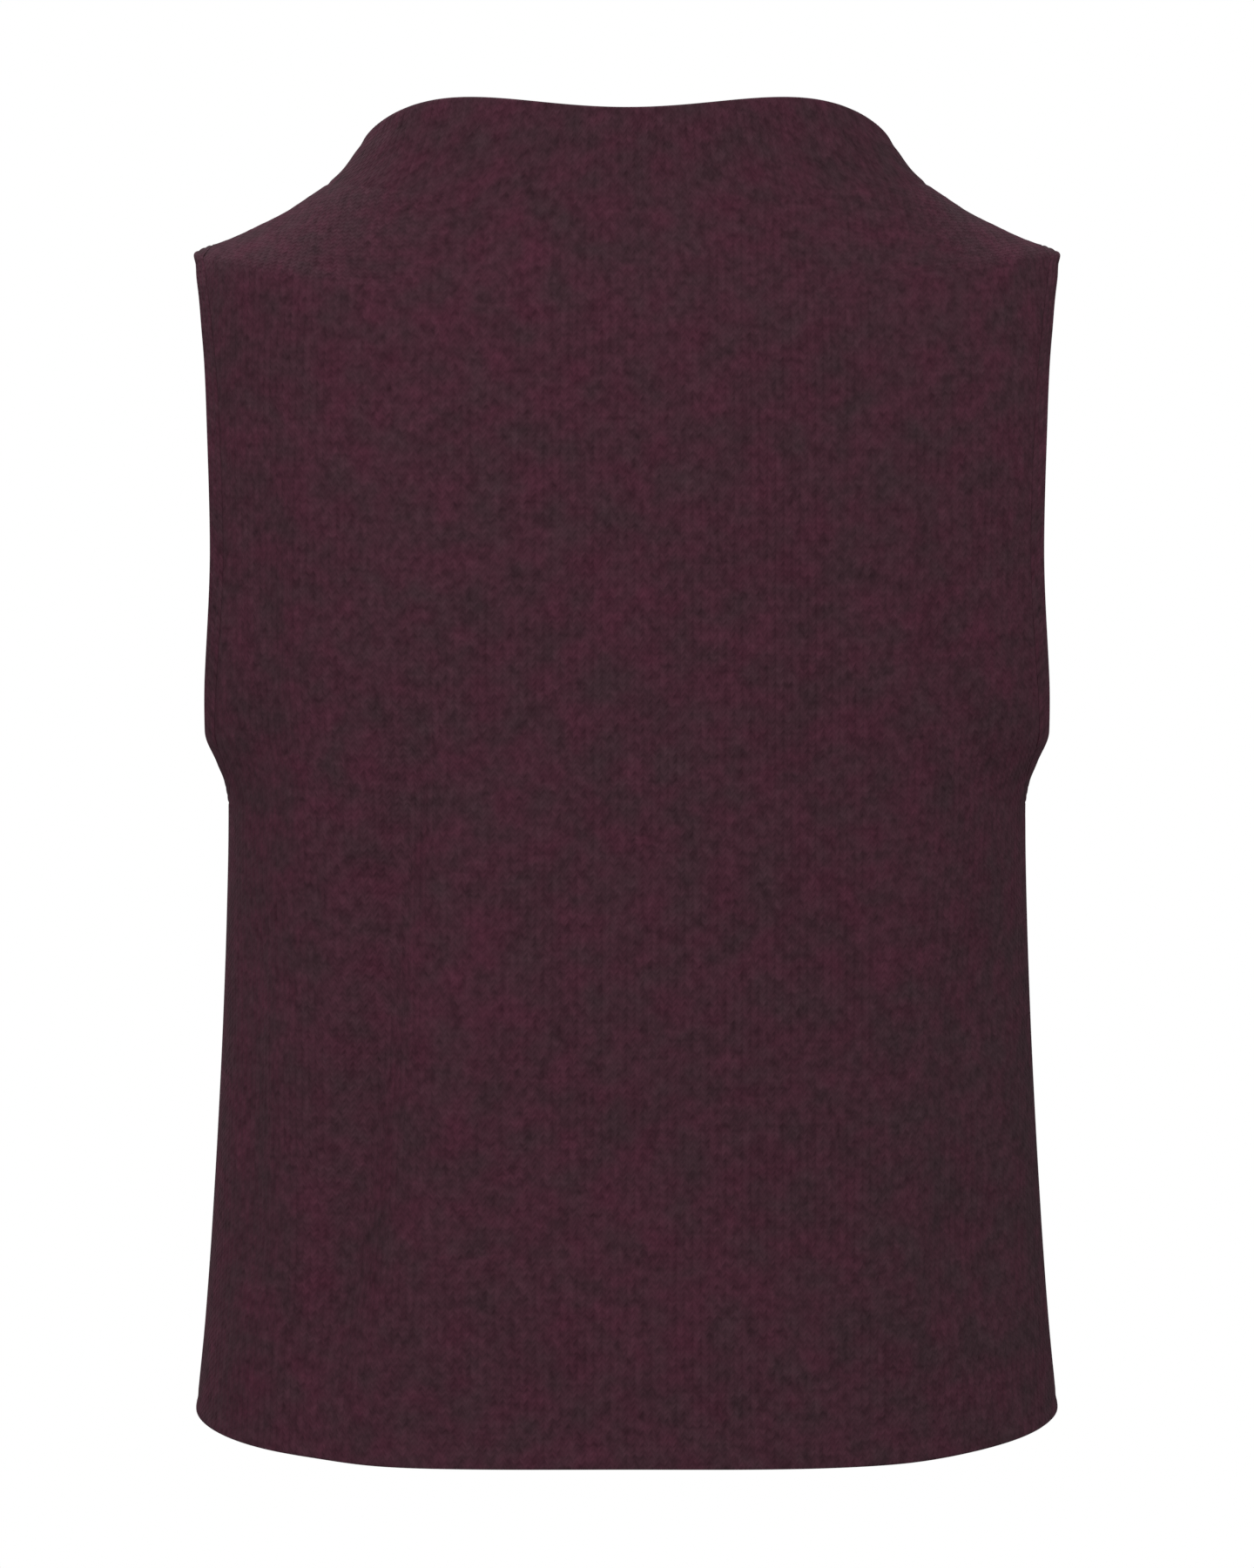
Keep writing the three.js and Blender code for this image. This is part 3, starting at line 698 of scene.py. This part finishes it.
def even_turns(count):
    """Angles round the loop that space its free edge evenly, from the arc lengths of a fine one."""
    fine = np.linspace(0, 2 * math.pi, LOOP_SAMPLES)
    edge = garment_point(*band_place(fine, 0.0, 1), 0, NO_FOLDS)
    arc = np.concatenate([[0], np.cumsum(np.linalg.norm(np.diff(edge, axis=0), axis=-1))])
    return np.interp(np.linspace(0, arc[-1], count + 1), arc, fine)[:-1], arc[-1]


def band_mesh(name, side):
    """A band as a closed strip: each column of the grid is a margin outside the free edge, each row a
    turn round the loop, and the last row joins the first."""
    turns, around = even_turns(BAND_STEPS)
    turn, margin = np.meshgrid(turns, BAND_MARGINS, indexing="ij")
    angles, heights = band_place(turn, margin, side)
    from_seam = BAND_WIDTH - margin
    proud = 0.5 * (BAND_WALL - WALL)
    thick = half_wall(margin, BAND_WALL)
    wales = from_seam * BAND_WALES / BAND_WIDTH
    relief = wale_relief(wales)
    relief = relief * smoothstep(from_seam, BAND_RIBS_FADE) * smoothstep(margin, BAND_RIBS_FADE)
    out = proud - 0.5 * BAND_WALL + thick + relief + seam_dip(from_seam)
    behind = (turn > math.pi)[..., None]

    def on_garment(distance):
        front = garment_point(angles, heights, distance, FRONT_DRAPE)
        back = garment_point(angles, heights, distance, BACK_DRAPE)
        return np.where(behind, back, front)

    outer = on_garment(out)
    inner = on_garment(proud - 0.5 * BAND_WALL - thick)
    rows, columns = turn.shape
    ids = np.arange(rows * columns).reshape(rows, columns)
    ids = np.vstack([ids, ids[:1]])
    ids = ids if side > 0 else ids[:, ::-1]
    courses = np.broadcast_to((np.arange(rows) * around / (rows * COURSE))[:, None], turn.shape)
    stitches = np.stack([wales, courses], -1)
    triangles = grid_triangles(ids, outer)
    return shell_mesh(name, outer, inner, triangles, stitches, (np.inf, around / COURSE))


band_knit = knit_material("band_knit", 0.9)
for band_side, band_name in ((1, "right"), (-1, "left")):
    strip = band_mesh("knitted_armhole_band_" + band_name, band_side)
    add_cloth(strip, band_knit, "armhole_band_" + band_name)

# Collar
# A funnel-shaped ring of the same knitting, linked to both panels round the neck. Its top edge is
# turned and stands by itself, higher at the back than at the front.
COLLAR_ROWS = 7
COLLAR_LOW = NECK_SEAM + SEAM_DISTANCES[0]
COLLAR_HIGH = NECK_EDGE - EDGE_DISTANCES[-1]
COLLAR_HEIGHTS = np.concatenate([
    NECK_SEAM + np.array(SEAM_DISTANCES[::-1]),
    np.linspace(COLLAR_LOW, COLLAR_HIGH, COLLAR_ROWS + 1)[1:-1],
    NECK_EDGE - np.array(EDGE_DISTANCES[::-1]),
])


def collar_mesh(name):
    """The collar as a closed ring that starts at the right shoulder. Each quarter has a whole number of
    wales, counted from the centre back, and a column keeps its share of the quarter's arc at every
    height, so the wales close up as the ring narrows."""
    up = COLLAR_HEIGHTS[:, None]
    parts = []
    wale_parts = []
    wales_before = 0
    for start in (0, 0.5 * math.pi, math.pi, 1.5 * math.pi):
        swing = start + 0.5 * math.pi * np.linspace(0, 1, ARC_SAMPLES)
        points = smooth_point(swing, up)
        arcs = np.cumsum(np.linalg.norm(np.diff(points, axis=1), axis=-1), axis=1)
        arcs = np.hstack([np.zeros((len(up), 1)), arcs])
        count = round(arcs[0, -1] / WALE)
        share = np.arange(count * STEPS_PER_WALE) / (count * STEPS_PER_WALE)
        parts.append(np.stack([np.interp(share * arc[-1], arc, swing) for arc in arcs]))
        wale_parts.append(wales_before + share * count)
        wales_before += count
    angles = np.hstack(parts)
    from_back = np.concatenate(wale_parts) - wale_parts[3][0]
    wales = np.broadcast_to(from_back, angles.shape)

    from_seam = np.broadcast_to(up - NECK_SEAM, angles.shape)
    from_edge = np.broadcast_to(NECK_EDGE - up, angles.shape)
    thick = half_wall(from_edge, WALL)
    relief = wale_relief(wales)
    relief = relief * smoothstep(from_seam, RIBS_FROM_SEAM) * smoothstep(from_edge, RIBS_FROM_EDGE)
    out = -0.5 * WALL + thick + relief + turned_edge(from_edge) + seam_dip(from_seam)
    outer = garment_point(angles, up, out, NO_FOLDS)
    inner = garment_point(angles, up, -0.5 * WALL - thick, NO_FOLDS)
    rows, columns = angles.shape
    ids = np.arange(rows * columns).reshape(rows, columns)
    ids = np.hstack([ids, ids[:, :1]])
    triangles = grid_triangles(ids, outer)
    stitches = np.stack([wales, course_counts(angles, COLLAR_HEIGHTS)], -1)
    return shell_mesh(name, outer, inner, triangles, stitches, (wales_before, np.inf))


collar_knit = knit_material("collar_knit", 1.0)
add_cloth(collar_mesh("knitted_collar"), collar_knit, "collar")

# Floor
# A plain pale disc about a metre below the hem, out of the main view.
FLOOR_Z = -1.6
FLOOR_RADIUS = 1.7

bpy.ops.mesh.primitive_circle_add(
    vertices=96, radius=FLOOR_RADIUS, fill_type="NGON", location=(0, 0, FLOOR_Z)
)
floor = bpy.context.object
floor.name = "floor"
floor_paint = bpy.data.materials.new("floor_paint")
floor_paint.use_nodes = True
floor_surface = floor_paint.node_tree.nodes["Principled BSDF"]
floor_surface.inputs["Base Color"].default_value = (0.82, 0.82, 0.82, 1)
floor_surface.inputs["Roughness"].default_value = 0.9
floor.data.materials.append(floor_paint)

# Light
# A white light tent, seen at full strength by the camera and softer by the vest, and soft lamps: a
# strong one up and to the left of the camera, one behind the shoulders that brightens them, and a
# weaker one at each side.
TENT_STRENGTH = 0.4
FRONT_LAMP = ("front_lamp", (-0.5, -2.65, 0.95), 1.0, 71)  # name, place, size and power
REAR_LAMP = ("rear_lamp", (-0.75, 1.05, 1.55), 1.0, 40)
LEFT_LAMP = ("left_lamp", (-1.3, -0.6, 1.1), 0.8, 4.5)
RIGHT_LAMP = ("right_lamp", (2.0, 0.2, 0.8), 1.0, 22)
LAMP_TARGET = (0, 0, -0.2)

world = bpy.data.worlds.new("light_tent")
world.use_nodes = True
tent = world.node_tree.nodes["Background"]
tent.inputs["Color"].default_value = (1, 1, 1, 1)
seen = world.node_tree.nodes.new("ShaderNodeLightPath").outputs["Is Camera Ray"]
strength = world.node_tree.nodes.new("ShaderNodeMapRange")
strength.inputs["To Min"].default_value = TENT_STRENGTH
world.node_tree.links.new(seen, strength.inputs["Value"])
world.node_tree.links.new(strength.outputs["Result"], tent.inputs["Strength"])
bpy.context.scene.world = world


def add_lamp(name, place, size, power):
    """A round soft lamp that looks at the vest's middle."""
    data = bpy.data.lights.new(name, "AREA")
    data.shape = "DISK"
    data.size = size
    data.energy = power
    lamp = bpy.data.objects.new(name, data)
    lamp.location = place
    lamp.rotation_euler = (Vector(LAMP_TARGET) - Vector(place)).to_track_quat("-Z", "Y").to_euler()
    bpy.context.scene.collection.objects.link(lamp)


add_lamp(*FRONT_LAMP)
add_lamp(*REAR_LAMP)
add_lamp(*LEFT_LAMP)
add_lamp(*RIGHT_LAMP)

bpy.context.scene.view_settings.view_transform = "Standard"

bpy.context.view_layer.update()
